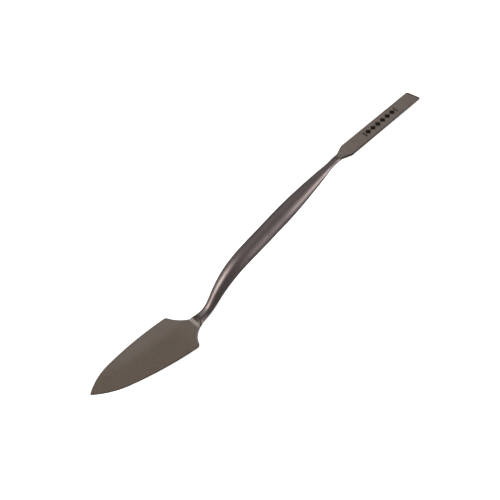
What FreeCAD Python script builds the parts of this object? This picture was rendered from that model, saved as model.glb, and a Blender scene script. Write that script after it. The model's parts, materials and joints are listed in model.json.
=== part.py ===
import FreeCAD, Part
import math
import os

import Sketcher

# A double-ended small tool: a leaf-shaped trowel blade, a cranked round handle and a narrow square-ended
# blade. The blades are let into the handle by tongues and welded round.
# Tool frame: X along the handle towards the square blade, Z up, origin under the middle of the tool on
# the surface that it lies on. Each sub-part is built in a frame of its own, which its Placement sets in
# the tool frame. The handle and the welds are built about the lowest point of the handle's spine, each
# blade about the middle of its root face: on the underside of the leaf, on the top of the square blade.

DIMENSIONS = {
    # leaf blade, measured back from its root face
    "leaf_length": 79.75,
    "leaf_half_width": 15.0,
    "leaf_shoulder": 10.4,       # root face to the widest place
    "leaf_flank_radius": 240.0,
    "leaf_nose_radius": 50.0,
    "leaf_base_radius": 20.0,    # hollow curve from shoulder to root
    "leaf_root_half": 3.75,
    "leaf_corner_round": 2.2,
    "leaf_tip_round": 0.8,
    "leaf_thick": 1.8,           # at the root
    "leaf_tip_thick": 0.8,
    "leaf_edge_break": 0.3,
    "leaf_tilt": 21.5,           # degrees that the blade rises towards its tip
    "ramp_length": 3.0,
    "ramp_top": 2.9,             # above the underside, at the root face
    "ramp_end_half": 3.15,
    # spine of the handle, from the leaf to the square blade
    "heel_radius": 16.0,
    "neck_slope": 30.0,
    "neck_run": 5.9,
    "crank_radius": 54.0,
    "handle_run": 75.9,          # level stretch
    "tail_radius": 20.0,
    "tail_drop": 11.75,          # degrees that the square blade falls away
    # sections of the handle
    "belly_diameter": 10.2,
    "belly_start": 19.4,         # along the level stretch
    "belly_length": 13.0,
    "front_drop": 3.2,           # how much thinner the bar is where the crank ends
    "front_power": 3.0,
    "taper_length": 41.9,        # belly to tail
    "taper_power": 1.6,
    "neck_width": 6.2,           # where the heel begins
    "neck_depth": 5.8,
    "waist_width": 5.8,          # the thinnest place
    "waist_depth": 5.2,
    "foot_width": 6.7,
    "foot_depth": 4.7,
    "tail_width": 4.6,
    "tail_depth": 3.5,
    # welds and tongues
    "foot_turn": 6.0,            # degrees of the heel's bend that the leaf weld fills
    "tail_weld": 1.5,
    "root_round": 0.5,
    "foot_round": 2.1,
    "tail_round": 1.6,
    "tongue_half": 1.4,
    "tongue_thick": 1.0,
    "tongue_length": 5.0,        # from the root face, through the weld and into the handle
    # square blade, measured out from its root face
    "square_length": 66.5,       # along its longer side
    "square_half_width": 4.75,
    "square_end_half": 4.6,
    "square_shoulder": 7.4,
    "square_shoulder_round": 1.5,
    "square_root_half": 2.15,
    "square_throat": 1.2,        # straight stretch before the shoulders swell
    "square_skew": 11.0,         # degrees that the end is off square
    "square_corner_round": 1.0,
    "square_thick": 2.0,
    "square_end_thick": 1.3,
    "square_edge_break": 0.3,
    # stamped ornament in the square blade
    "mark_start": 24.0,
    "mark_pitch": 4.1,
    "mark_half_length": 1.95,
    "mark_half_width": 2.1,
    "mark_gap": 0.5,             # lozenge to end bar
    "mark_bar": 0.8,
    "mark_depth": 0.15,
    "mark_below": 0.03,          # top of the fill below the blade's face
    # tool frame
    "heel_from_middle": 53.06,   # lowest point of the spine before the middle of the tool
    "heel_height": 2.56,         # and above the surface that the tool lies on
}
LOZENGES = 6
SHEET = "Dimensions"


def cell(name):
    """A dimension as it is written in an expression."""
    if name not in DIMENSIONS:
        raise KeyError(name)
    return f"<<{SHEET}>>.{name}"


def add_sheet(doc):
    """The spreadsheet of driving dimensions, one alias a row."""
    sheet = doc.addObject("Spreadsheet::Sheet", SHEET)
    for row, (name, value) in enumerate(DIMENSIONS.items(), start=1):
        sheet.set(f"A{row}", name)
        sheet.set(f"B{row}", str(value))
        sheet.setAlias(f"B{row}", name)
    doc.recompute()


def add_body(doc, label):
    body = doc.addObject("PartDesign::Body", label)
    body.Label = label
    return body


def origin_plane(body, role):
    return next(f for f in body.Origin.OriginFeatures if f.Role == role)


def add_sketch(body, name, role):
    """A sketch on one of its body's own origin planes."""
    sketch = body.newObject("Sketcher::SketchObject", name)
    sketch.AttachmentSupport = (origin_plane(body, role), [""])
    sketch.MapMode = "FlatFace"
    return sketch


def constrain(sketch, rules):
    """Adds constraints. Each rule is a kind, its arguments, and an expression or None."""
    for kind, *arguments, expression in rules:
        index = sketch.addConstraint(Sketcher.Constraint(kind, *arguments))
        if expression:
            sketch.setExpression(f"Constraints[{index}]", expression)


def line(start, end):
    return Part.LineSegment(FreeCAD.Vector(*start, 0), FreeCAD.Vector(*end, 0))


def arc_about(centre, start, end):
    """The anticlockwise arc about a centre from one point to another."""
    angles = [math.atan2(p[1] - centre[1], p[0] - centre[0]) for p in (start, end)]
    if angles[1] < angles[0]:
        angles[1] += 2 * math.pi
    circle = Part.Circle(FreeCAD.Vector(*centre, 0), FreeCAD.Vector(0, 0, 1), math.dist(centre, start))
    return Part.ArcOfCircle(circle, *angles)


def arc_between(start, end, radius):
    """The anticlockwise arc of less than half a turn and a given radius from one point to another."""
    across = math.dist(start, end)
    off = math.sqrt(radius**2 - (across / 2) ** 2)
    left = ((start[1] - end[1]) / across, (end[0] - start[0]) / across)
    return arc_about([(s + e) / 2 + off * n for s, e, n in zip(start, end, left)], start, end)


def draw_polygon(sketch, points):
    """A closed run of lines. Returns the first line's number and the rules that join the lines."""
    first = sketch.GeometryCount
    numbers = list(range(first, first + len(points)))
    for start, end in zip(points, points[1:] + points[:1]):
        sketch.addGeometry(line(start, end), False)
    return first, [("Coincident", a, 2, b, 1, None) for a, b in zip(numbers, numbers[1:] + numbers[:1])]


# ---------------------------------------------------------------- the spine of the handle
# It lies in the XZ plane. A station is x, z and slope in degrees, as expressions.


def heel_station(slope):
    radius = cell("heel_radius")
    return f"{radius} * sin({slope})", f"{radius} * (1 - cos({slope}))", slope


def crank_station(share):
    """On the bend from the neck to the level stretch, at a share of the neck's slope."""
    slope, heel, radius = cell("neck_slope"), cell("heel_radius"), cell("crank_radius")
    x = f"({heel} + {radius}) * sin({slope}) + {cell('neck_run')} * cos({slope})"
    z = f"({heel} + {radius}) * (1 - cos({slope})) + {cell('neck_run')} * sin({slope})"
    here = f"{share} * {slope}"
    return f"({x} - {radius} * sin({here}))", f"({z} - {radius} * (1 - cos({here})))", here


def level_station(along):
    x, z, slope = crank_station(0)
    return f"{x} + {along}", z, slope


def tail_station(share, beyond="0"):
    """On the bend before the square blade, or a distance beyond it."""
    x, z, _ = level_station(cell("handle_run"))
    here, radius = f"({share} * {cell('tail_drop')})", cell("tail_radius")
    return (
        f"{x} + {radius} * sin({here}) + {beyond} * cos({here})",
        f"{z} - {radius} * (1 - cos({here})) - {beyond} * sin({here})",
        f"-{here}",
    )


LEAF_ROOT = heel_station(f"-{cell('leaf_tilt')}")
LEAF_FOOT = heel_station(f"({cell('foot_turn')} - {cell('leaf_tilt')})")
TAIL_FACE = tail_station(1)
SQUARE_ROOT = tail_station(1, cell("tail_weld"))


def add_section(body, name, station):
    """An empty sketch that stands square across the spine, its X to the side and its Y up."""
    sketch = add_sketch(body, name, "YZ_Plane")
    sketch.AttachmentOffset = FreeCAD.Placement(
        FreeCAD.Vector(), FreeCAD.Rotation(FreeCAD.Vector(1, 0, 0), 1)
    )
    x, z, slope = station
    sketch.setExpression("AttachmentOffset.Base.z", x)
    sketch.setExpression("AttachmentOffset.Base.y", z)
    sketch.setExpression("AttachmentOffset.Rotation.Angle", f"-({slope})")
    return sketch


def add_round(body, name, station, diameter):
    sketch = add_section(body, name, station)
    sketch.addGeometry(Part.Circle(FreeCAD.Vector(), FreeCAD.Vector(0, 0, 1), 4), False)
    constrain(sketch, [("Coincident", 0, 3, -1, 1, None), ("Diameter", 0, 8, diameter)])
    return sketch


def add_oval(body, name, station, width, depth):
    """An elliptical section, wider than it is deep."""
    sketch = add_section(body, name, station)
    sketch.addGeometry(Part.Ellipse(FreeCAD.Vector(), 3, 2), False)
    sketch.exposeInternalGeometry(0)
    rules = [
        ("Coincident", 0, 3, -1, 1, None),
        ("Horizontal", 1, None),
        ("Distance", 1, 6, width),
        ("Distance", 2, 4, depth),
    ]
    constrain(sketch, rules)
    return sketch


def add_slab(body, name, station, half_width, low, high):
    """A rectangular section between two heights."""
    sketch = add_section(body, name, station)
    first, rules = draw_polygon(sketch, [(-1, -1), (1, -1), (1, 1), (-1, 1)])
    rules += [
        ("Horizontal", first, None),
        ("Vertical", first + 1, None),
        ("Horizontal", first + 2, None),
        ("Vertical", first + 3, None),
        ("DistanceX", -1, 1, first, 2, 1, half_width),
        ("DistanceX", first, 1, -1, 1, 1, half_width),
        ("DistanceY", first, 1, -1, 1, 1, low),
        ("DistanceY", -1, 1, first + 1, 2, 1, high),
    ]
    constrain(sketch, rules)
    return sketch


def add_loft(body, name, sections):
    loft = body.newObject("PartDesign::AdditiveLoft", name)
    loft.Profile = sections[0]
    loft.Sections = sections[1:]
    return loft


def add_pocket(body, name, sketch, length, forwards=False, midplane=False):
    """Cuts a sketch into its body: against the sketch's normal, or forwards along it."""
    pocket = body.newObject("PartDesign::Pocket", name)
    pocket.Profile = sketch
    pocket.Reversed = forwards
    pocket.Midplane = midplane
    pocket.setExpression("Length", length)
    return pocket


def dress(body, kind, name, size, wanted):
    """Rounds or chamfers the edges of the body so far whose middle point passes a test."""
    body.Document.recompute()
    base = body.Tip
    names = []
    for index, edge in enumerate(base.Shape.Edges, start=1):
        if wanted(edge.valueAt((edge.FirstParameter + edge.LastParameter) / 2), edge):
            names.append(f"Edge{index}")
    feature = body.newObject(f"PartDesign::{kind}", name)
    feature.Base = (base, names)
    feature.setExpression("Radius" if kind == "Fillet" else "Size", size)


def is_upright(edge):
    box = edge.BoundBox
    return box.XLength < 0.01 and box.YLength < 0.01


# ---------------------------------------------------------------- leaf blade


def draw_leaf_half(sketch):
    """Half of the leaf: nose, flank, hollow base and root face, closed along the middle line."""
    d = DIMENSIONS
    tip, root = (-d["leaf_length"], 0), (0, d["leaf_root_half"])
    shoulder = (-d["leaf_shoulder"], d["leaf_half_width"])
    meeting = (-0.78 * d["leaf_length"], 0.63 * d["leaf_half_width"])
    flank_centre = (shoulder[0], shoulder[1] - d["leaf_flank_radius"])
    sketch.addGeometry(arc_between(meeting, tip, d["leaf_nose_radius"]), False)
    sketch.addGeometry(arc_about(flank_centre, shoulder, meeting), False)
    sketch.addGeometry(arc_between(shoulder, root, d["leaf_base_radius"]), False)
    sketch.addGeometry(line(root, (0, 0)), False)
    sketch.addGeometry(line((0, 0), tip), False)
    rules = [
        ("Tangent", 0, 1, 1, 2, None),
        ("Coincident", 1, 1, 2, 1, None),
        ("Coincident", 2, 2, 3, 1, None),
        ("Coincident", 3, 2, 4, 1, None),
        ("Coincident", 4, 2, 0, 2, None),
        ("Coincident", 4, 1, -1, 1, None),
        ("Horizontal", 4, None),
        ("Vertical", 3, None),
        ("Vertical", 1, 3, 1, 1, None),
        ("DistanceX", 0, 2, -1, 1, -tip[0], cell("leaf_length")),
        ("DistanceX", 1, 1, -1, 1, -shoulder[0], cell("leaf_shoulder")),
        ("DistanceY", -1, 1, 1, 1, shoulder[1], cell("leaf_half_width")),
        ("DistanceY", -1, 1, 3, 1, root[1], cell("leaf_root_half")),
        ("Radius", 0, d["leaf_nose_radius"], cell("leaf_nose_radius")),
        ("Radius", 1, d["leaf_flank_radius"], cell("leaf_flank_radius")),
        ("Radius", 2, d["leaf_base_radius"], cell("leaf_base_radius")),
    ]
    constrain(sketch, rules)


def between(one, other, way):
    """Two points of a sketch in the order that makes the distance between them positive."""
    return (*one, *other) if way > 0 else (*other, *one)


def draw_taper(sketch, length, thick, end_thick, along, side):
    """The wedge ground off a plate that thins from its root: along X or against it, above or below."""
    spare, lid = 2, 6
    run = DIMENSIONS[length] + spare
    points = [(0, 2 * side), (along * run, side), (along * run, lid * side), (0, lid * side)]
    first, rules = draw_polygon(sketch, points)
    fall = f"({cell(thick)} - {cell(end_thick)}) * ({cell(length)} + {spare}) / {cell(length)}"
    origin = (-1, 1)
    rules += [
        ("PointOnObject", first, 1, -2, None),
        ("Vertical", first + 1, None),
        ("Horizontal", first + 2, None),
        ("Vertical", first + 3, None),
        ("DistanceX", *between(origin, (first, 2), along), run, f"{cell(length)} + {spare}"),
        ("DistanceY", *between(origin, (first, 1), side), 2, cell(thick)),
        ("DistanceY", *between((first, 2), (first, 1), side), 1, fall),
        ("DistanceY", *between(origin, (first + 2, 2), side), lid, None),
    ]
    constrain(sketch, rules)


def add_leaf_blade(doc):
    """The trowel: a plate with a flat underside, a ramp up to the neck and a tongue into it."""
    body = add_body(doc, "leaf_blade")
    outline = add_sketch(body, "leaf_outline", "XY_Plane")
    draw_leaf_half(outline)
    half = body.newObject("PartDesign::Pad", "leaf_half")
    half.Profile = outline
    half.setExpression("Length", cell("leaf_thick"))
    whole = body.newObject("PartDesign::Mirrored", "leaf_whole")
    whole.Originals = [half]
    whole.MirrorPlane = (origin_plane(body, "XZ_Plane"), [""])
    body.Tip = whole
    doc.recompute()

    wedge = add_sketch(body, "leaf_wedge", "XZ_Plane")
    draw_taper(wedge, "leaf_length", "leaf_thick", "leaf_tip_thick", -1, 1)
    add_pocket(body, "leaf_taper", wedge, f"3 * {cell('leaf_half_width')}", midplane=True)
    shoulder, tip = -DIMENSIONS["leaf_shoulder"], -DIMENSIONS["leaf_length"]
    dress(body, "Fillet", "leaf_corners", cell("leaf_corner_round"),
          lambda p, edge: is_upright(edge) and abs(p.x - shoulder) < 0.1)
    dress(body, "Fillet", "leaf_point", cell("leaf_tip_round"),
          lambda p, edge: is_upright(edge) and abs(p.x - tip) < 0.1)
    dress(body, "Chamfer", "leaf_edges", cell("leaf_edge_break"),
          lambda p, edge: p.z > 0.5 and not is_upright(edge) and p.x < -0.01)

    here = ("0", f"{cell('foot_depth')} / 2", "0")
    back = (f"-{cell('ramp_length')}", here[1], "0")
    sink = f"{cell('foot_depth')} / 2"
    sections = [
        add_slab(body, "ramp_foot", here, cell("leaf_root_half"), sink, f"{cell('ramp_top')} - {sink}"),
        add_slab(body, "ramp_end", back, cell("ramp_end_half"), sink, f"{cell('leaf_thick')} * 0.9 - {sink}"),
    ]
    add_loft(body, "ramp", sections)
    tongue = body.newObject("PartDesign::Pad", "leaf_tongue")
    tongue.Profile = add_tongue_section(body, "leaf_tongue_section", here)
    tongue.setExpression("Length", cell("tongue_length"))
    doc.recompute()
    return body


# ---------------------------------------------------------------- handle


def front_diameter(before):
    """The handle's diameter at a distance before the belly."""
    length = f"({cell('belly_start')} + {cell('crank_radius')} * sin({cell('neck_slope')}))"
    return f"({cell('belly_diameter')} - {cell('front_drop')} * (({before}) / {length})^{cell('front_power')})"


def heel_size(waist, foot):
    """A width or depth at the bottom of the heel, nearer to the waist's than to the foot's."""
    return f"(3 * {cell(waist)} + {cell(foot)}) / 4"


def rear_size(tail, share):
    """A width or depth at a share of the taper from the belly to the tail."""
    belly = cell("belly_diameter")
    return f"({tail} + ({belly} - {tail}) * (1 - {share}^{cell('taper_power')}))"


def add_handle(doc):
    """The grip: a swelled round bar with a cranked neck, slotted at each end for a tongue."""
    body = add_body(doc, "handle")
    start = cell("belly_start")
    end = f"({start} + {cell('belly_length')})"
    slope = cell("neck_slope")
    front = [
        add_oval(body, "foot", LEAF_FOOT, cell("foot_width"), cell("foot_depth")),
        add_oval(body, "heel", heel_station("0"), heel_size("waist_width", "foot_width"),
                 heel_size("waist_depth", "foot_depth")),
        add_oval(body, "waist", heel_station(f"({slope} / 2)"), cell("waist_width"), cell("waist_depth")),
        add_oval(body, "neck", heel_station(slope), cell("neck_width"), cell("neck_depth")),
    ]
    for count, share in enumerate((1, 0.8, 0.6, 0.4, 0.2, 0), start=1):
        before = f"{start} + {cell('crank_radius')} * sin({share} * {slope})"
        front.append(add_round(body, f"crank_{count}", crank_station(share), front_diameter(before)))
    for count, share in enumerate((0.35, 0.7), start=1):
        before = front_diameter(f"(1 - {share}) * {start}")
        front.append(add_round(body, f"level_{count}", level_station(f"{share} * {start}"), before))
    front.append(add_round(body, "belly_front", level_station(start), cell("belly_diameter")))
    add_loft(body, "front", front)

    belly = body.newObject("PartDesign::Pad", "belly")
    belly.Profile = add_round(body, "belly_round", level_station(start), cell("belly_diameter"))
    belly.setExpression("Length", cell("belly_length"))

    rear = [add_round(body, "belly_rear", level_station(end), cell("belly_diameter"))]
    for count, share in enumerate((0.1, 0.25, 0.4, 0.55, 0.7, 0.85, 1), start=1):
        sizes = [rear_size(cell(tail), share) for tail in ("tail_width", "tail_depth")]
        station = level_station(f"{end} + {share} * {cell('taper_length')}")
        rear.append(add_oval(body, f"taper_{count}", station, *sizes))
    for name, share in (("tail_half", 0.5), ("tail", 1)):
        rear.append(add_oval(body, name, tail_station(share), cell("tail_width"), cell("tail_depth")))
    add_loft(body, "rear", rear)
    doc.recompute()

    cut_tongue_slots(body, leaf=True, square=True)
    doc.recompute()
    return body


def add_tongue_section(body, name, station):
    """The section of a tongue. The slots that it fills have the same one."""
    half = f"{cell('tongue_thick')} / 2"
    return add_slab(body, name, station, cell("tongue_half"), half, half)


def cut_tongue_slots(body, leaf=False, square=False):
    """Cuts the space of a blade's tongue, from its root face, out of the handle or a weld."""
    length = cell("tongue_length")
    if leaf:
        slot = add_tongue_section(body, "leaf_slot_section", LEAF_ROOT)
        add_pocket(body, "leaf_slot", slot, length, forwards=True)
    if square:
        slot = add_tongue_section(body, "square_slot_section", SQUARE_ROOT)
        add_pocket(body, "square_slot", slot, length)


# ---------------------------------------------------------------- welds


def add_bead_section(body, name, station, half_width, low, high, radius):
    """A rectangular section with rounded corners, which starts at the right of its bottom."""
    sketch = add_section(body, name, station)
    corners = [(2, -1, -90), (2, 1, 0), (-2, 1, 90), (-2, -1, 180)]
    for number, (x, y, angle) in enumerate(corners):
        turn = math.radians(angle)
        out, after = (math.cos(turn), math.sin(turn)), (-math.sin(turn), math.cos(turn))
        sketch.addGeometry(arc_about((x, y), (x + out[0], y + out[1]), (x + after[0], y + after[1])), False)
        following = corners[(number + 1) % 4]
        finish = (following[0] + after[0], following[1] + after[1])
        sketch.addGeometry(line((x + after[0], y + after[1]), finish), False)
    rules = []
    for number in range(0, 8, 2):
        rules.append(("Tangent", number, 2, number + 1, 1, None))
        rules.append(("Tangent", number + 1, 2, (number + 2) % 8, 1, None))
    rules += [("Equal", 0, number, None) for number in (2, 4, 6)]
    rules += [
        ("Vertical", 1, None),
        ("Horizontal", 3, None),
        ("Vertical", 5, None),
        ("Horizontal", 7, None),
        ("Radius", 0, 1, radius),
        ("DistanceX", -1, 1, 1, 1, 3, half_width),
        ("DistanceX", 5, 1, -1, 1, 3, half_width),
        ("DistanceY", 7, 1, -1, 1, 2, low),
        ("DistanceY", -1, 1, 3, 1, 2, high),
    ]
    constrain(sketch, rules)
    return sketch


def add_leaf_weld(doc):
    """The weld round the leaf's tongue, dressed to run from the ramp into the neck."""
    body = add_body(doc, "leaf_weld")
    half = f"{cell('foot_depth')} / 2"
    sections = [
        add_bead_section(body, "root_side", LEAF_ROOT, cell("leaf_root_half"), half,
                         f"{cell('ramp_top')} - {half}", cell("root_round")),
        add_bead_section(body, "handle_side", LEAF_FOOT, f"{cell('foot_width')} / 2", half, half,
                         cell("foot_round")),
    ]
    add_loft(body, "bead", sections)
    doc.recompute()
    cut_tongue_slots(body, leaf=True)
    doc.recompute()
    return body


def add_square_weld(doc):
    """The weld round the square blade's tongue, dressed to run from the neck into the blade."""
    body = add_body(doc, "square_weld")
    half = f"{cell('tail_depth')} / 2"
    blade = f"{cell('square_thick')} / 2"
    sections = [
        add_bead_section(body, "handle_side", TAIL_FACE, f"{cell('tail_width')} / 2", half, half,
                         cell("tail_round")),
        add_bead_section(body, "root_side", SQUARE_ROOT, cell("square_root_half"), blade, blade,
                         cell("root_round")),
    ]
    add_loft(body, "bead", sections)
    doc.recompute()
    cut_tongue_slots(body, square=True)
    doc.recompute()
    return body


# ---------------------------------------------------------------- square blade


def draw_square_outline(sketch):
    """The blade's outline: throat, straight shoulders, long sides and an oblique end."""
    d = DIMENSIONS
    throat, root, side = d["square_throat"], d["square_root_half"], d["square_half_width"]
    shoulder, end = d["square_shoulder"], d["square_end_half"]
    long, short = d["square_length"], d["square_length"] - 2 * end * math.tan(math.radians(d["square_skew"]))
    sketch.addGeometry(line((0, root), (0, -root)), False)
    sketch.addGeometry(line((0, -root), (throat, -root)), False)
    sketch.addGeometry(line((throat, -root), (shoulder, -side)), False)
    sketch.addGeometry(line((shoulder, -side), (long, -end)), False)
    sketch.addGeometry(line((long, -end), (short, end)), False)
    sketch.addGeometry(line((short, end), (shoulder, side)), False)
    sketch.addGeometry(line((shoulder, side), (throat, root)), False)
    sketch.addGeometry(line((throat, root), (0, root)), False)
    rules = [("Coincident", number, 2, (number + 1) % 8, 1, None) for number in range(8)]
    rules += [
        ("Vertical", 0, None),
        ("Horizontal", 1, None),
        ("Horizontal", 7, None),
        ("PointOnObject", 0, 1, -2, None),
        ("DistanceX", -1, 1, 1, 2, throat, cell("square_throat")),
        ("DistanceX", -1, 1, 6, 2, throat, cell("square_throat")),
        ("DistanceX", -1, 1, 3, 1, shoulder, cell("square_shoulder")),
        ("DistanceX", -1, 1, 5, 2, shoulder, cell("square_shoulder")),
        ("DistanceY", 1, 1, -1, 1, root, cell("square_root_half")),
        ("DistanceY", -1, 1, 7, 1, root, cell("square_root_half")),
        ("DistanceY", 3, 1, -1, 1, side, cell("square_half_width")),
        ("DistanceY", -1, 1, 5, 2, side, cell("square_half_width")),
        ("DistanceY", 4, 1, -1, 1, end, cell("square_end_half")),
        ("DistanceY", -1, 1, 4, 2, end, cell("square_end_half")),
        ("DistanceX", -1, 1, 4, 1, long, cell("square_length")),
        ("DistanceX", 4, 2, 4, 1, long - short,
         f"2 * {cell('square_end_half')} * tan({cell('square_skew')})"),
    ]
    constrain(sketch, rules)


def add_square_blade(doc):
    """The narrow blade: a flat top, an underside that thins towards the end, and a stamped ornament."""
    body = add_body(doc, "square_blade")
    outline = add_sketch(body, "square_outline", "XY_Plane")
    draw_square_outline(outline)
    plate = body.newObject("PartDesign::Pad", "square_plate")
    plate.Profile = outline
    plate.Reversed = True
    plate.setExpression("Length", cell("square_thick"))
    doc.recompute()

    wedge = add_sketch(body, "square_wedge", "XZ_Plane")
    draw_taper(wedge, "square_length", "square_thick", "square_end_thick", 1, -1)
    add_pocket(body, "square_taper", wedge, f"4 * {cell('square_half_width')}", midplane=True)
    dress(body, "Fillet", "square_corners", cell("square_corner_round"),
          lambda p, edge: is_upright(edge) and p.x > DIMENSIONS["square_length"] / 2)
    dress(body, "Fillet", "square_shoulders", cell("square_shoulder_round"),
          lambda p, edge: is_upright(edge) and abs(p.x - DIMENSIONS["square_shoulder"]) < 0.5)
    dress(body, "Chamfer", "square_edges", cell("square_edge_break"),
          lambda p, edge: abs(p.z) < 0.01 and p.x > DIMENSIONS["square_throat"] and edge.Length > 0.3)
    add_marks(body, "Pocket", "0", cell("mark_depth"))

    tongue = body.newObject("PartDesign::Pad", "square_tongue")
    middle = ("0", f"-{cell('square_thick')} / 2", "0")
    tongue.Profile = add_tongue_section(body, "square_tongue_section", middle)
    tongue.Reversed = True
    tongue.setExpression("Length", cell("tongue_length"))
    doc.recompute()
    return body


def add_mark_sketch(body, name, sink):
    """A sketch on the blade's top, or a little below it."""
    sketch = add_sketch(body, name, "XY_Plane")
    sketch.setExpression("AttachmentOffset.Base.z", f"-{sink}")
    return sketch


def add_marks(body, kind, sink, depth):
    """The ornament, as recesses or as the fill in them: a row of lozenges between two bars."""
    start, half = cell("mark_start"), cell("mark_half_length")
    lozenge = add_mark_sketch(body, "lozenge", sink)
    first, rules = draw_polygon(lozenge, [(20, 0), (22, -2), (24, 0), (22, 2)])
    rules += [
        ("PointOnObject", first, 1, -1, None),
        ("PointOnObject", first + 2, 1, -1, None),
        ("Vertical", first + 1, 1, first + 3, 1, None),
        ("DistanceX", -1, 1, first, 1, 20, start),
        ("DistanceX", first, 1, first + 1, 1, 2, half),
        ("DistanceX", first + 1, 1, first + 2, 1, 2, half),
        ("DistanceY", first + 1, 1, -1, 1, 2, cell("mark_half_width")),
        ("DistanceY", -1, 1, first + 3, 1, 2, cell("mark_half_width")),
    ]
    constrain(lozenge, rules)

    row = f"{LOZENGES - 1} * {cell('mark_pitch')}"
    bars = add_mark_sketch(body, "bars", sink)
    far = f"{start} + {row} + 2 * {half} + {cell('mark_gap')}"
    near = f"{start} - {cell('mark_gap')} - {cell('mark_bar')}"
    for guess, left in ((10, near), (60, far)):
        first, rules = draw_polygon(bars, [(guess, -2), (guess + 1, -2), (guess + 1, 2), (guess, 2)])
        rules += [
            ("Horizontal", first, None),
            ("Vertical", first + 1, None),
            ("Horizontal", first + 2, None),
            ("Vertical", first + 3, None),
            ("DistanceX", -1, 1, first, 1, guess, left),
            ("DistanceX", first, 1, first, 2, 1, cell("mark_bar")),
            ("DistanceY", first, 1, -1, 1, 2, cell("mark_half_width")),
            ("DistanceY", -1, 1, first + 2, 2, 2, cell("mark_half_width")),
        ]
        constrain(bars, rules)

    features = []
    for sketch in (bars, lozenge):
        feature = body.newObject(f"PartDesign::{kind}", f"{sketch.Name}_{kind.lower()}")
        feature.Profile = sketch
        feature.Reversed = kind == "Pad"
        feature.setExpression("Length", depth)
        features.append(feature)
    pattern = body.newObject("PartDesign::LinearPattern", "lozenge_row")
    pattern.Originals = [features[1]]
    pattern.Direction = (origin_plane(body, "X_Axis"), [""])
    pattern.setExpression("Length", row)
    pattern.Occurrences = LOZENGES
    body.Tip = pattern
    body.Document.recompute()


def add_mark_inlay(doc):
    """The dark fill in the stamped ornament, a separate solid in each recess."""
    body = add_body(doc, "mark_inlay")
    body.AllowCompound = True
    add_marks(body, "Pad", cell("mark_below"), f"{cell('mark_depth')} - {cell('mark_below')}")
    return body


# ---------------------------------------------------------------- the whole tool


def place(body, station, tilt="0", rise="0"):
    """Sets a body in the tool frame: a station of the spine, and how far the body's origin is above it."""
    x, z, _ = station
    body.Placement = FreeCAD.Placement(FreeCAD.Vector(), FreeCAD.Rotation(FreeCAD.Vector(0, 1, 0), 1))
    body.setExpression("Placement.Rotation.Angle", tilt)
    body.setExpression("Placement.Base.x", f"{x} + {rise} * sin({tilt}) - {cell('heel_from_middle')}")
    body.setExpression("Placement.Base.z", f"{z} + {rise} * cos({tilt}) + {cell('heel_height')}")


def check(doc, parts):
    """Stops on an object that has failed or a sub-part that isn't a sound solid."""
    for item in doc.Objects:
        if {"Invalid", "Error"} & set(item.State):
            raise RuntimeError(f"{item.Label} has failed: {item.State}")
    for part in parts:
        if part.Shape.isNull() or not part.Shape.isValid() or not part.Shape.Solids:
            raise RuntimeError(f"{part.Label} is not a sound solid")


def main():
    doc = FreeCAD.newDocument("small_tool")
    add_sheet(doc)
    heel = heel_station("0")
    leaf_sink = f"(-{cell('foot_depth')} / 2)"
    square_rise = f"({cell('square_thick')} / 2)"
    parts = []
    for maker, station, tilt, rise in (
        (add_leaf_blade, LEAF_ROOT, cell("leaf_tilt"), leaf_sink),
        (add_leaf_weld, heel, "0", "0"),
        (add_handle, heel, "0", "0"),
        (add_square_weld, heel, "0", "0"),
        (add_square_blade, SQUARE_ROOT, cell("tail_drop"), square_rise),
        (add_mark_inlay, SQUARE_ROOT, cell("tail_drop"), square_rise),
    ):
        body = maker(doc)
        place(body, station, tilt, rise)
        parts.append(body)
    doc.recompute()
    check(doc, parts)

    os.makedirs("parts", exist_ok=True)
    for part in parts:
        part.Shape.exportStep(f"parts/{part.Label}.step")
        print(f"{part.Label}: {len(part.Shape.Solids)} solid, {part.Shape.Volume:.1f} mm3")
    return doc, parts


main()
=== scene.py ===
import json
from math import ceil, cos, pi, radians, sin

import bmesh
import bpy
from mathutils import Matrix, Vector, noise
from mathutils.bvhtree import BVHTree
from mathutils.geometry import delaunay_2d_cdt
from mathutils.kdtree import KDTree


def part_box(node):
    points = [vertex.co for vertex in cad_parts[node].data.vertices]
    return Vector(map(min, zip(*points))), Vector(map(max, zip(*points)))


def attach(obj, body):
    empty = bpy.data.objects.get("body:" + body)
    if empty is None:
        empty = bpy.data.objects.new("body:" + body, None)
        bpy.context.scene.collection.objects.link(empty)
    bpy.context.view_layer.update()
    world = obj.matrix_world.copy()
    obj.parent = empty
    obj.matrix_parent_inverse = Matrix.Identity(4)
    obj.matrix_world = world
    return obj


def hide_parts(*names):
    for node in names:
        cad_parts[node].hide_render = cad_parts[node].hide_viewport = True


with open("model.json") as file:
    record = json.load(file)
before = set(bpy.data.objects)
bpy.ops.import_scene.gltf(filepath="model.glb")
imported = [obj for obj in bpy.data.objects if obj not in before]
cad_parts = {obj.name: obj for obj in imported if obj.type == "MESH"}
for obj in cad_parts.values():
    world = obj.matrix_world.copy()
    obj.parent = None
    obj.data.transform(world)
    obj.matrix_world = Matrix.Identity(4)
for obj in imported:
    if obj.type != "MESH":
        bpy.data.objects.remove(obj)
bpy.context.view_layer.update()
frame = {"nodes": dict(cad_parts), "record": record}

scene = bpy.context.scene
nodes = frame["nodes"]
mounts = {mount["name"]: mount for mount in frame["record"]["mounts"]}

mm = 0.001
sideways, upwards = Vector((0, 1, 0)), Vector((0, 0, 1))
outside = 20 * mm          # rays towards a piece start this far from its middle
around = 64                # points round the handle and the welds
cut_height = 0.4 * mm      # where a blade's outline is taken, over its underside
edge_radius = 0.26 * mm    # of the blades' edges
outline_step = 0.3 * mm    # between points along a blade's outline


# ---------------------------------------------------------------- shader nodes


def set_inputs(tree, node, inputs):
    """Links each input to another node's output, or gives it a value."""
    for socket, value in inputs.items():
        if isinstance(value, bpy.types.NodeSocket):
            tree.links.new(value, node.inputs[socket])
        else:
            node.inputs[socket].default_value = value


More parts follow.
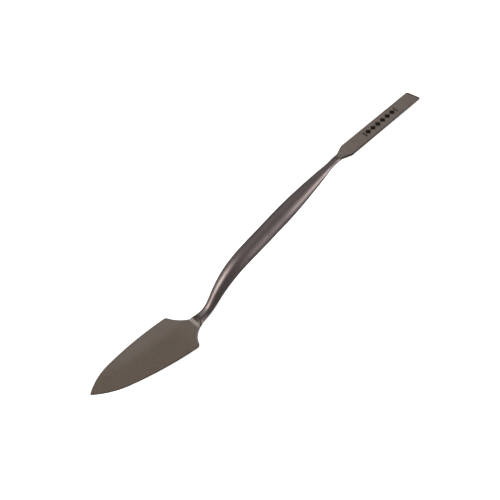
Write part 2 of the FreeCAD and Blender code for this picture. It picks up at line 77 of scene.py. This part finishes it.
def add_node(tree, kind, inputs, **settings):
    node = tree.nodes.new(kind)
    for name, value in settings.items():
        setattr(node, name, value)
    set_inputs(tree, node, inputs)
    return node


def add_maths(tree, operation, *values):
    return add_node(tree, "ShaderNodeMath", dict(enumerate(values)), operation=operation).outputs[0]


def set_shader(material, inputs):
    """Links or sets inputs of a material's principled shader."""
    tree = material.node_tree
    set_inputs(tree, tree.nodes["Principled BSDF"], inputs)


def new_material(name, inputs):
    material = bpy.data.materials.new(name)
    material.use_nodes = True
    set_shader(material, inputs)
    return material


# ---------------------------------------------------------------- camera, floor and light


def add_camera(target, azimuth, elevation, distance, roll, lens):
    """A camera that looks at a target. Azimuth 0 looks along +Y, and it grows as the camera goes right."""
    data = bpy.data.cameras.new("camera")
    data.lens, data.sensor_width = lens, 36
    data.clip_start, data.clip_end = 0.01, 20
    camera = bpy.data.objects.new("camera", data)
    turn = Matrix.Rotation(radians(azimuth), 4, "Z") @ Matrix.Rotation(radians(90 - elevation), 4, "X")
    turn = turn @ Matrix.Rotation(radians(roll), 4, "Z")
    camera.matrix_world = Matrix.Translation(Vector(target)) @ turn @ Matrix.Translation((0, 0, distance))
    scene.collection.objects.link(camera)
    scene.camera = camera


def add_floor(side, colour, glow):
    """A white floor that is lit from within too, as a light table is, so that shadows stay faint.

    The steel mirrors only the world, so the tool's underside stays dark.
    """
    mesh = bpy.data.meshes.new("floor")
    half = side / 2
    corners = [(-half, -half, 0), (half, -half, 0), (half, half, 0), (-half, half, 0)]
    mesh.from_pydata(corners, [], [(0, 1, 2, 3)])
    floor = bpy.data.objects.new("floor", mesh)
    scene.collection.objects.link(floor)
    floor.visible_glossy = False
    mesh.materials.append(new_material("floor", {
        "Base Color": (*colour, 1),
        "Emission Color": (1, 1, 1, 1),
        "Emission Strength": glow,
        "Roughness": 0.9,
        "Specular IOR Level": 0.1,
    }))


def add_ceiling_light(toward, angle, strength):
    """A very soft light from above that brightens the floor and isn't mirrored in the steel."""
    data = bpy.data.lights.new("ceiling", "SUN")
    data.energy, data.angle = strength, radians(angle)
    light = bpy.data.objects.new("ceiling", data)
    light.matrix_world = Vector(toward).to_track_quat("Z", "Y").to_matrix().to_4x4()
    light.visible_glossy = False
    scene.collection.objects.link(light)


def add_world(ceiling, ground, glows):
    """A dim studio, darker below the horizon, with soft glows: direction, sharpness, strength and colour."""
    world = bpy.data.worlds.new("studio")
    world.use_nodes = True
    tree = world.node_tree
    direction = tree.nodes.new("ShaderNodeTexCoord").outputs["Generated"]
    height = add_node(tree, "ShaderNodeSeparateXYZ", {0: direction}).outputs["Z"]
    level = add_node(tree, "ShaderNodeMapRange", {0: height, 1: -0.25, 2: 0.15, 3: ground, 4: ceiling},
                     interpolation_type="SMOOTHSTEP").outputs[0]
    light = add_node(tree, "ShaderNodeCombineXYZ", {0: level, 1: level, 2: level}).outputs[0]
    for toward, sharpness, strength, colour in glows:
        facing = add_node(tree, "ShaderNodeVectorMath", {0: direction, 1: Vector(toward).normalized()},
                          operation="DOT_PRODUCT").outputs["Value"]
        soft = add_maths(tree, "POWER", add_maths(tree, "MAXIMUM", facing, 0.0), sharpness)
        light = add_node(tree, "ShaderNodeVectorMath", {0: soft, 1: Vector(colour) * strength, 2: light},
                         operation="MULTIPLY_ADD").outputs[0]
    tree.links.new(light, tree.nodes["Background"].inputs["Color"])
    scene.world = world


# ---------------------------------------------------------------- reading the frame


def blade_frame(mount_name, outward):
    """A blade's own frame: x away from the handle, z up from its underside.

    outward is the sign of that x in the tool.
    """
    mount = mounts[mount_name]
    up = -Vector(mount["axis"])
    along = (sideways * outward).cross(up)
    side = up.cross(along)
    turn = Matrix((along, side, up)).transposed().to_4x4()
    return Matrix.Translation(Vector(mount["pos_m"])) @ turn


def way(matrix, direction):
    """A direction in a blade's frame, as it is in the tool."""
    return matrix.to_3x3() @ Vector(direction)


def joined(mesh):
    """A mesh to edit, with its split corners joined."""
    bm = bmesh.new()
    bm.from_mesh(mesh)
    bmesh.ops.remove_doubles(bm, verts=bm.verts, dist=1e-6)
    return bm


def in_order(edges):
    """The vertices of a closed loop of edges, one after another, from the one with the lowest x."""
    beside = {}
    for edge in edges:
        one, other = edge.verts
        beside.setdefault(one, []).append(other)
        beside.setdefault(other, []).append(one)
    start = min(beside, key=lambda vertex: vertex.co.x)
    loop, before, here = [start], None, start
    while True:
        ahead = [vertex for vertex in beside[here] if vertex is not before]
        before, here = here, ahead[0]
        if here is start:
            return loop
        loop.append(here)


def section(node, matrix):
    """The outline of a blade a little over its underside: corners of a closed loop, counterclockwise."""
    bm = joined(nodes[node].data)
    bm.transform(matrix.inverted())
    cut = bmesh.ops.bisect_plane(bm, geom=bm.verts[:] + bm.edges[:] + bm.faces[:], dist=1e-8,
                                 plane_co=(0, 0, cut_height), plane_no=(0, 0, 1))
    loop = in_order([item for item in cut["geom_cut"] if isinstance(item, bmesh.types.BMEdge)])
    points = [vertex.co.to_2d() for vertex in loop]
    bm.free()
    area = sum(one.x * other.y - other.x * one.y for one, other in zip(points, points[1:] + points[:1]))
    return points if area > 0 else points[::-1]


def corner_numbers(points, turn=radians(25)):
    """Which points of a loop are sharp corners, or the first point if none is."""
    corners = []
    for i, here in enumerate(points):
        before, after = here - points[i - 1], points[(i + 1) % len(points)] - here
        if before.length and after.length and abs(before.angle_signed(after)) > turn:
            corners.append(i)
    return corners or [0]


def even_steps(run):
    """Points at even steps along a run of points, without its last one."""
    lengths = [0]
    for one, other in zip(run, run[1:]):
        lengths.append(lengths[-1] + (other - one).length)
    parts = max(1, ceil(lengths[-1] / outline_step))
    placed, k = [], 0
    for part in range(parts):
        wanted = lengths[-1] * part / parts
        while lengths[k + 1] < wanted:
            k += 1
        share = (wanted - lengths[k]) / max(lengths[k + 1] - lengths[k], 1e-12)
        placed.append(run[k].lerp(run[k + 1], share))
    return placed


def resample(points):
    """The same loop with even steps between its sharp corners."""
    count = len(points)
    corners = corner_numbers(points)
    result = []
    for first, last in zip(corners, corners[1:] + [corners[0] + count]):
        result += even_steps([points[i % count] for i in range(first, last + 1)])
    return result


def cad_tree(node):
    mesh = nodes[node].data
    corners = [vertex.co for vertex in mesh.vertices]
    return BVHTree.FromPolygons(corners, [face.vertices for face in mesh.polygons])


def height_over(tree, matrix, x, y):
    """Height of a blade's CAD upper surface at a place in its frame."""
    hit = tree.ray_cast(matrix @ Vector((x, y, outside)), -way(matrix, upwards))[0]
    return (matrix.inverted() @ hit).z


def flat_height(tree, matrix, places, y):
    """The height of a blade's flat upper face as a function of x, from two places on it."""
    one, other = [(x, height_over(tree, matrix, x, y)) for x in places]
    slope = (other[1] - one[1]) / (other[0] - one[0])
    return lambda x: one[1] + slope * (x - one[0])


def middle_of(tree, place, up):
    """Halfway between the top and the underside of a CAD node, on the line through a place."""
    top = tree.ray_cast(place + up * outside, -up)[0]
    bottom = tree.ray_cast(place - up * outside, up)[0]
    return (top + bottom) / 2


def turn_of(k):
    """The angle of a loop's point round the handle or a weld, from the top."""
    return 2 * pi * k / around


def skin_loop(tree, centre, up):
    """Points round a CAD node's outside, found from outside inwards, in the plane of up and sideways."""
    loop = []
    for k in range(around):
        out = sideways * sin(turn_of(k)) + up * cos(turn_of(k))
        loop.append(tree.ray_cast(centre + out * outside, -out)[0])
    return loop


# ---------------------------------------------------------------- mesh making


def finish_piece(name, bm, node, material, sharp=40):
    """Makes an object of a closed mesh, shades it, and puts it in its CAD node's place."""
    bmesh.ops.recalc_face_normals(bm, faces=bm.faces)
    mesh = bpy.data.meshes.new(name)
    bm.to_mesh(mesh)
    bm.free()
    mesh.shade_smooth()
    mesh.set_sharp_from_angle(angle=radians(sharp))
    mesh.materials.append(material)
    piece = bpy.data.objects.new(name, mesh)
    scene.collection.objects.link(piece)
    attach(piece, "root")
    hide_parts(node)
    return piece


def ease(value, low, high):
    """0 below low, 1 above high, smooth between."""
    share = min(1, max(0, (value - low) / (high - low)))
    return share * share * (3 - 2 * share)


def upper_of(one, other, blend):
    """The higher of two heights, with a rounded change from one to the other."""
    return max(one, other) + max(0, blend - abs(one - other)) ** 2 / (4 * blend)


def rounding(depth):
    """How far a blade's rounded edge has dropped, at a distance in from the outline."""
    if depth >= edge_radius:
        return 0
    return edge_radius - (edge_radius ** 2 - (edge_radius - depth) ** 2) ** 0.5


def inset(points, depth):
    """A counterclockwise loop moved inwards."""
    moved = []
    for before, here, after in zip(points[-1:] + points[:-1], points, points[1:] + points[:1]):
        one, other = (here - before).normalized(), (after - here).normalized()
        inward = Vector((-(one.y + other.y), one.x + other.x)).normalized()
        lean = max(0.5, inward.dot(Vector((-one.y, one.x))))
        moved.append(here + inward * depth / lean)
    return moved


def search_tree(points):
    """Finds the nearest of some flat points."""
    tree = KDTree(len(points))
    for i, point in enumerate(points):
        tree.insert(point.to_3d(), i)
    tree.balance()
    return tree


def distance_to(tree, place):
    return tree.find(place.to_3d())[2]


def inner_lines(outline, depths):
    """Points at some depths inside an outline, without the ones that cross over at its corners."""
    tree = search_tree(outline)
    points = []
    for depth in depths:
        points += [place for place in inset(outline, depth) if distance_to(tree, place) > depth - 0.02 * mm]
    return points


def grid_inside(loop, spacing, taken):
    """Points in staggered columns over a loop's box, away from the points already taken."""
    low = [min(point[axis] for point in loop) for axis in range(2)]
    high = [max(point[axis] for point in loop) for axis in range(2)]
    tree = search_tree(taken)
    points = []
    for i in range(ceil((high[0] - low[0]) / spacing)):
        for j in range(ceil((high[1] - low[1]) / spacing) + 1):
            place = Vector((low[0] + spacing * i, low[1] + spacing * (j + 0.5 * (i % 2))))
            if distance_to(tree, place) > 0.6 * spacing:
                points.append(place)
    return points


def fill_inside(loop, spacing, ridges):
    """Triangles inside a loop. Gives the added points, and faces that number the loop's points first."""
    rim = search_tree(loop)
    inner = grid_inside(loop, spacing, loop + ridges)
    inner += [place for place in ridges if distance_to(rim, place) > 0.1 * mm]
    count = len(loop)
    points, _, faces, sources, _, _ = delaunay_2d_cdt(loop + inner, [], [list(range(count))], 1, 1e-9)
    numbers, added = {}, []
    for i in sorted({i for face in faces for i in face}):
        ring = [origin for origin in sources[i] if origin < count]
        if ring:
            numbers[i] = ring[0]
        else:
            numbers[i] = count + len(added)
            added.append(points[i])
    return added, [[numbers[i] for i in face] for face in faces]


def blade_side(bm, matrix, places, height, painted_light):
    """The vertices of one side of a blade, from flat points and their depths inside the outline."""
    edge, ground = bm.verts.layers.float["edge"], bm.verts.layers.float["ground"]
    vertices = []
    for point, depth in places:
        vertex = bm.verts.new(matrix @ Vector((*point, height(point, depth))))
        # each vertex's painted shade (edge) and painted highlight (ground)
        vertex[edge], vertex[ground] = painted_light(point, depth)
        vertices.append(vertex)
    return vertices


def plate(cut, matrix, spacing, top, painted_light, ridges):
    """A closed blade: rings of quads along its rounded edge, triangles inside, and points along its ridges.

    top and wear are functions of a point and its depth inside the outline. top gives the upper face's
    height. wear gives the shade painted darker along an edge there, and the highlight painted lighter there.
    ridges is a function of the outline.
    """
    outline = resample(cut)
    count = len(outline)
    depths = [edge_radius * (1 - cos(radians(angle))) for angle in (0, 22.5, 45, 67.5, 90)]
    loops = [inset(outline, depth) for depth in depths]
    rim = search_tree(outline)
    added, faces = fill_inside(loops[-1], spacing, ridges(outline))
    places = [(point, depth) for depth, loop in zip(depths, loops) for point in loop]
    places += [(point, distance_to(rim, point)) for point in added]
    bm = bmesh.new()
    # vertex values for the painted shade (edge) and the painted highlight (ground)
    for layer in ("edge", "ground"):
        bm.verts.layers.float.new(layer)
    upper = blade_side(bm, matrix, places, top, painted_light)
    lower = blade_side(bm, matrix, places, lambda point, depth: rounding(depth), painted_light)
    for vertices in (upper, lower):
        for ring in range(len(depths) - 1):
            for k in range(count):
                one, other = ring * count + k, ring * count + (k + 1) % count
                bm.faces.new([vertices[i] for i in (one, other, other + count, one + count)])
        first = (len(depths) - 1) * count
        for face in faces:
            bm.faces.new([vertices[first + i] for i in face])
    for k in range(count):
        bm.faces.new((upper[k], upper[(k + 1) % count], lower[(k + 1) % count], lower[k]))
    return bm


def loft(loops):
    """A closed skin through loops of points, one face across each end."""
    bm = bmesh.new()
    rows = [[bm.verts.new(point) for point in loop] for loop in loops]
    for one, other in zip(rows, rows[1:]):
        for k in range(len(one)):
            after = (k + 1) % len(one)
            bm.faces.new((one[k], one[after], other[after], other[k]))
    bm.faces.new(rows[0])
    bm.faces.new(rows[-1][::-1])
    bm.verts.index_update()
    return bm


def blend_loops(one, other, leaving, arriving, steps):
    """Loops between two loops, along a smooth curve for each point with the given end tangents."""
    result = []
    for step in range(steps + 1):
        u = step / steps
        result.append([
            a * (2 * u ** 3 - 3 * u ** 2 + 1) + out * (u ** 3 - 2 * u ** 2 + u)
            + b * (3 * u ** 2 - 2 * u ** 3) + onward * (u ** 3 - u ** 2)
            for a, b, out, onward in zip(one, other, leaving, arriving)
        ])
    return result


# ---------------------------------------------------------------- steel and paint


def pattern(tree, scale, detail, stretch=(1, 1, 1), turn=0.0):
    """A fine random pattern fixed to the tool."""
    place = tree.nodes.new("ShaderNodeTexCoord").outputs["Object"]
    inputs = {"Vector": place, "Rotation": (0, turn, 0), "Scale": stretch}
    placed = add_node(tree, "ShaderNodeMapping", inputs).outputs[0]
    inputs = {"Vector": placed, "Scale": scale, "Detail": detail}
    return add_node(tree, "ShaderNodeTexNoise", inputs).outputs["Fac"]


def spread(tree, value, low, high, to_low, to_high):
    """A value with its range from low to high stretched over another one, and kept inside it."""
    inputs = {0: value, 1: low, 2: high, 3: to_low, 4: to_high}
    return add_node(tree, "ShaderNodeMapRange", inputs).outputs[0]


def paint_over(tree, tone, colour, share):
    """A tone with a share of a colour mixed in."""
    inputs = {0: share, 6: tone, 7: (*colour, 1)}
    return add_node(tree, "ShaderNodeMix", inputs, data_type="RGBA").outputs[2]


def plus(tree, one, other, weight):
    return add_maths(tree, "MULTIPLY_ADD", other, weight, one)


def uneven(tree, height, strength):
    """The normal of a surface with slight bumps."""
    inputs = {"Height": height, "Strength": strength, "Distance": 0.03 * mm}
    return add_node(tree, "ShaderNodeBump", inputs).outputs[0]


def vertex_value(tree, name):
    return add_node(tree, "ShaderNodeAttribute", {}, attribute_name=name).outputs["Fac"]


def satin_steel(name, colour, warm, cool, dark, roughness, turn=0.0, grain=1.0):
    """Brushed, mottled satin steel, with shade and highlights painted from the edge and ground values."""
    material = new_material(name, {"Metallic": 1, "Specular Tint": (0.35, 0.35, 0.35, 1)})
    tree = material.node_tree
    scratches = pattern(tree, 1, 5, (90, 5200, 5200), turn)
    lines = pattern(tree, 1, 3, (35, 1300, 1300), turn)
    specks = pattern(tree, 1400, 4, turn=turn)
    patches = pattern(tree, 95, 3, (0.6, 1, 1), turn)
    stains = pattern(tree, 230, 4, (0.6, 1, 1), turn)
    edge, ground = vertex_value(tree, "edge"), vertex_value(tree, "ground")
    # bright is the scratches' tone; the second tone is the lighter colour of the painted highlight
    bright, painted_highlight = [min(1, 1.5 * part) for part in colour], (0.56, 0.5, 0.47)
    tone = (*colour, 1)
    tone = paint_over(tree, tone, warm, spread(tree, patches, 0.42, 0.68, 0, 1))
    tone = paint_over(tree, tone, cool, spread(tree, stains, 0.5, 0.72, 0, 0.8))
    tone = paint_over(tree, tone, dark, spread(tree, lines, 0.52, 0.75, 0, 0.35))
    tone = paint_over(tree, tone, dark, spread(tree, specks, 0.55, 0.8, 0, 0.5 * grain))
    tone = paint_over(tree, tone, bright, spread(tree, scratches, 0.6, 0.8, 0, 0.35))
    # painted highlight: lighter steel where the ground value is high
    tone = paint_over(tree, tone, painted_highlight, spread(tree, ground, 0, 1, 0, 0.8))
    # painted shade: darker steel where the edge value is high
    tone = paint_over(tree, tone, dark, spread(tree, edge, 0.35, 0.95, 0, 0.85))
    brushed = spread(tree, scratches, 0.3, 0.7, roughness - 0.05, roughness + 0.05)
    relief = plus(tree, plus(tree, scratches, specks, 0.8), lines, 0.7)
    set_shader(material, {
        "Base Color": tone,
        "Roughness": plus(tree, plus(tree, brushed, specks, 0.08), edge, 0.15),
        "Normal": uneven(tree, relief, 0.35 * grain),
    })
    return material


def dark_fill(name, colour):
    """Matte dark paint in the stamped ornament, thin and uneven."""
    material = new_material(name, {"Roughness": 0.6, "Specular IOR Level": 0.1})
    tree = material.node_tree
    grain = pattern(tree, 1800, 4)
    thin = [2.6 * part for part in colour]
    tone = paint_over(tree, (*colour, 1), thin, spread(tree, grain, 0.4, 0.8, 0, 1))
    set_shader(material, {"Base Color": tone, "Normal": uneven(tree, grain, 0.4)})
    return material


# ---------------------------------------------------------------- the tool's pieces


def leaf_ridges(outline, root, facet, bevel):
    """Points along both sides of the facet's end, and along the bevel of the base curve."""
    ridges = []
    for step in range(-14, 15):
        for offset in (-0.1 * mm, 0.1 * mm):
            ridges.append(Vector((root + facet + offset, step * 0.3 * mm)))
    return ridges + inner_lines(outline, (0.6 * mm, 0.9 * mm, bevel, bevel + 0.15 * mm))


def add_leaf_blade(matrix, material):
    """The leaf: flat ground faces, rounded edges, a bevel along the base curve and the facet at the root."""
    tree = cad_tree("leaf_blade")
    cut = section("leaf_blade", matrix)
    root, tip = min(point.x for point in cut), max(point.x for point in cut)
    root_half = max(point.y for point in cut if point.x < root + 0.05 * mm)
    shoulder = max(cut, key=lambda point: point.y).x
    flat = flat_height(tree, matrix, (root + 12 * mm, tip - 12 * mm), 2 * mm)
    root_top = height_over(tree, matrix, root + 0.02 * mm, 0)
    facet, bevel, bevel_depth, hollow = 2.4 * mm, 1.15 * mm, 0.22 * mm, 0.05 * mm
    facet_drop = root_top - flat(root + facet)

    def base(point):
        return 1 - ease(point.x, shoulder - 1.6 * mm, shoulder - 0.4 * mm)

    def beside(point):
        return ease(abs(point.y), root_half - 0.1 * mm, root_half + 1.1 * mm)

    def top(point, depth):
        x = point.x - root
        height = flat(point.x) - bevel_depth * base(point) * max(0, 1 - depth / bevel)
        height -= hollow * ease(depth, bevel, 9 * mm)
        height = upper_of(height, root_top - facet_drop * x / facet - 1.6 * mm * beside(point), 0.12 * mm)
        return height - rounding(depth) * ease(x, 0, 0.4 * mm)

    # shade painted along the rim, and highlights painted on the facet, the base curve's bevel, one side and
    # near the root
    def painted_light(point, depth):
        x = point.x - root
        on_facet = (1 - ease(x, facet - 0.15 * mm, facet + 0.1 * mm)) * (1 - beside(point))
        on_bevel = base(point) * (1 - ease(depth, bevel - 0.1 * mm, bevel + 0.1 * mm))
        # a painted highlight over one side of the leaf, fading towards the tip
        painted_side_light = ease(-point.y, 0, 8 * mm) * (1 - ease(x, 40 * mm, 78 * mm))
        near_root = 1 - ease(x, 4 * mm, 22 * mm)
        painted_highlight = max(on_facet, 0.75 * on_bevel, 0.45 * painted_side_light, 0.22 * near_root)
        return max(0, 1 - depth / (0.5 * mm)), painted_highlight

    bm = plate(cut, matrix, 0.55 * mm, top, painted_light, lambda outline: leaf_ridges(outline, root, facet, bevel))
    finish_piece("leaf_blade_steel", bm, "leaf_blade", material, sharp=50)
    return root


def ornament_cutter(matrix, flat):
    """The ornament's CAD fill as an object, raised through the square blade's upper face."""
    cutter = bpy.data.objects.new("ornament_cutter", nodes["mark_inlay"].data.copy())
    scene.collection.objects.link(cutter)
    inverse, up = matrix.inverted(), way(matrix, upwards)
    for vertex in cutter.data.vertices:
        here = inverse @ vertex.co
        if here.z > flat(here.x) - 0.1 * mm:
            vertex.co += up * 0.5 * mm
    bm = joined(cutter.data)
    bm.to_mesh(cutter.data)
    bm.free()
    return cutter


def carve(piece, cutter):
    """Cuts one object out of another, and removes it."""
    cut = piece.modifiers.new("ornament", "BOOLEAN")
    cut.operation, cut.solver, cut.object = "DIFFERENCE", "EXACT", cutter
    bpy.context.view_layer.update()
    carved = bpy.data.meshes.new_from_object(piece.evaluated_get(bpy.context.evaluated_depsgraph_get()))
    piece.modifiers.clear()
    piece.data = carved
    bpy.data.objects.remove(cutter)


def add_square_blade(matrix, material):
    """The square blade: flat faces, rounded edges, a bevelled end, and the ornament cut into it."""
    tree = cad_tree("square_blade")
    cut = section("square_blade", matrix)
    root, end = min(point.x for point in cut), max(point.x for point in cut)
    flat = flat_height(tree, matrix, (root + 12 * mm, end - 8 * mm), 0)
    bevel, bevel_depth = 1.1 * mm, 0.5 * mm
    far = [point for point in cut if point.x > 0.5 * (root + end)]
    corners = max(far, key=lambda point: point.x - point.y), max(far, key=lambda point: point.x + point.y)
    end_way = (corners[1] - corners[0]).normalized()
    end_in = Vector((-end_way.y, end_way.x))

    def top(point, depth):
        from_end = (point - corners[0]).dot(end_in)
        return flat(point.x) - rounding(depth) - bevel_depth * max(0, 1 - from_end / bevel)

    # shade painted along the rim and on the end's bevel; no painted highlight
    def painted_light(point, depth):
        from_end = (point - corners[0]).dot(end_in)
        on_bevel = 1 - ease(from_end, bevel - 0.1 * mm, bevel + 0.1 * mm)
        return max(0, 1 - depth / (0.65 * mm), 0.85 * on_bevel), 0

    bm = plate(cut, matrix, 0.7 * mm, top, painted_light,
               lambda outline: inner_lines(outline, (0.5 * mm, bevel, bevel + 0.15 * mm)))
    piece = finish_piece("square_blade_steel", bm, "square_blade", material)
    carve(piece, ornament_cutter(matrix, flat))
    return root


def handle_loops(stations=210, fade=12, wave_height=0.035 * mm, wave_length=9 * mm):
    """Loops round the handle's CAD node, with the slight waves of hand dressing away from its ends."""
    tree = cad_tree("handle")
    low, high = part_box("handle")
    # The handle's ends are slanted, so the first and last upright loops are a little inside them.
    first, last = low.x + 1.7 * mm, high.x - 1.1 * mm
    loops = []
    for station in range(stations + 1):
        x = first + (last - first) * station / stations
        centre = middle_of(tree, Vector((x, 0, high.z / 2)), upwards)
        loop = skin_loop(tree, centre, upwards)
        inward = min(1, station / fade, (stations - station) / fade)
        for k, point in enumerate(loop):
            wave = noise.noise(Vector((x / wave_length, 1.2 * sin(turn_of(k)), 1.2 * cos(turn_of(k)))))
            loop[k] = point + (point - centre).normalized() * wave_height * wave * inward
        loops.append(loop)
    return loops


def add_handle(loops, material):
    """The bar: shade painted at its foot and down one side near it, a highlight painted on top near the
    foot.
    """
    bm = loft(loops)
    # edge holds the painted shade, ground the painted highlight
    dark = bm.verts.layers.float.new("edge")
    bright = bm.verts.layers.float.new("ground")
    for vertex in bm.verts:
        station, k = divmod(vertex.index, around)
        along = loops[station][0].x - loops[0][0].x
        on_top, on_side = max(0, cos(turn_of(k) + 0.1)), max(0, cos(turn_of(k) + 1.15))
        painted_foot_shade = 0.8 * (1 - ease(along, 0.3 * mm, 1.8 * mm)) * on_top
        painted_side_shade = (1 - ease(along, 5 * mm, 10 * mm)) * on_side ** 3
        vertex[dark] = max(painted_foot_shade, painted_side_shade)
        vertex[bright] = 0.45 * (1 - ease(abs(along - 3.5 * mm), 1 * mm, 3.5 * mm)) * on_top ** 3
    finish_piece("handle_bar", bm, "handle", material)


def add_weld(name, node, matrix, root, ring, beyond, material, step_up, painted_shade, steps=24):
    """The dressed weld, from a blade's root to the handle's end loop and on towards the loop beyond it.

    step_up is how strongly it climbs away from the blade first, and heat how dark the shade painted there
    is.
    """
    tree = cad_tree(node)
    along, up = way(matrix, (1, 0, 0)), way(matrix, upwards)
    centre = middle_of(tree, matrix @ Vector((root, 0, 0)) - along * 0.05 * mm, up)
    start = skin_loop(tree, centre, up)
    gap = (centre - sum(ring, Vector()) / around).length
    leaving = []
    for k in range(around):
        upper = step_up * max(0, cos(turn_of(k))) ** 0.7
        leaving.append(-along * gap * (1 - 0.6 * upper) + up * gap * 1.6 * upper)
    arriving = [(there - here).normalized() * gap for here, there in zip(ring, beyond)]
    bm = loft(blend_loops(start, ring, leaving, arriving, steps))
    # painted shade, darkest where the weld leaves the blade
    dark = bm.verts.layers.float.new("edge")
    for vertex in bm.verts:
        row, k = divmod(vertex.index, around)
        fading = 1 - 0.4 * ease(row / steps, 0.5, 1)
        vertex[dark] = painted_shade * fading * (0.75 + 0.25 * cos(turn_of(k) - 0.3))
    finish_piece(name, bm, node, material, sharp=60)


# ---------------------------------------------------------------- the scene

add_camera(target=(-0.0084067, -0.0005974, 0.01536), azimuth=-20.0627, elevation=55.852, distance=0.98826,
           roll=-29.6066, lens=122.4)
add_floor(side=4, colour=(0.9, 0.9, 0.9), glow=0.72)
add_ceiling_light(toward=(-0.15, -0.45, 0.88), angle=180, strength=0.9)
add_world(
    ceiling=0.26,
    ground=0.19,
    glows=[
        ((-0.58, 0.25, 0.77), 15, 3.0, (1.0, 0.93, 0.9)),
        ((-0.88, 0.3, 0.36), 22, 1.1, (1.0, 0.93, 0.9)),
        ((-0.4, 0.86, 0.31), 8, 0.23, (1.0, 0.97, 0.94)),
        ((-0.38, -0.82, 0.42), 5, -0.09, (1.0, 1.0, 1.0)),
        ((0.41, 0.49, 0.77), 1.5, 0.07, (1.0, 1.0, 1.0)),
        ((0.49, -0.67, -0.56), 26, 1.0, (1.0, 0.95, 0.93)),
        ((0.59, -0.81, -0.05), 26, 4.2, (1.0, 0.95, 0.93)),
        ((0.53, -0.73, 0.44), 26, 1.0, (1.0, 0.95, 0.93)),
    ],
)
scene.view_settings.view_transform = "Standard"

leaf_steel = satin_steel(
    "leaf_steel", colour=(0.37, 0.297, 0.236), warm=(0.385, 0.292, 0.226), cool=(0.35, 0.301, 0.254),
    dark=(0.13, 0.115, 0.1), roughness=0.42, turn=radians(21.5), grain=0.45,
)
handle_steel = satin_steel(
    "handle_steel", colour=(0.30, 0.255, 0.245), warm=(0.31, 0.25, 0.24), cool=(0.275, 0.262, 0.265),
    dark=(0.11, 0.095, 0.095), roughness=0.25,
)
square_steel = satin_steel(
    "square_steel", colour=(0.44, 0.37, 0.325), warm=(0.45, 0.365, 0.315), cool=(0.41, 0.365, 0.34),
    dark=(0.11, 0.1, 0.095), roughness=0.42, turn=radians(-11.75), grain=0.7,
)
# its dark tone also paints the shade on the leaf's weld
weld_steel = satin_steel(
    "weld_steel", colour=(0.29, 0.25, 0.235), warm=(0.3, 0.24, 0.225), cool=(0.27, 0.255, 0.25),
    dark=(0.055, 0.038, 0.03), roughness=0.28,
)

leaf_frame, square_frame = blade_frame("leaf_underside", -1), blade_frame("square_underside", 1)
leaf_root = add_leaf_blade(leaf_frame, leaf_steel)
square_root = add_square_blade(square_frame, square_steel)
loops = handle_loops()
add_handle(loops, handle_steel)
# the leaf's weld gets painted shade; the square's gets none
add_weld("leaf_weld_bead", "leaf_weld", leaf_frame, leaf_root, loops[0], loops[1], weld_steel,
         step_up=1, painted_shade=1)
add_weld("square_weld_bead", "square_weld", square_frame, square_root, loops[-1], loops[-2], weld_steel,
         step_up=0, painted_shade=0)
nodes["mark_inlay"].material_slots[0].material = dark_fill("mark_fill", (0.007, 0.005, 0.0045))
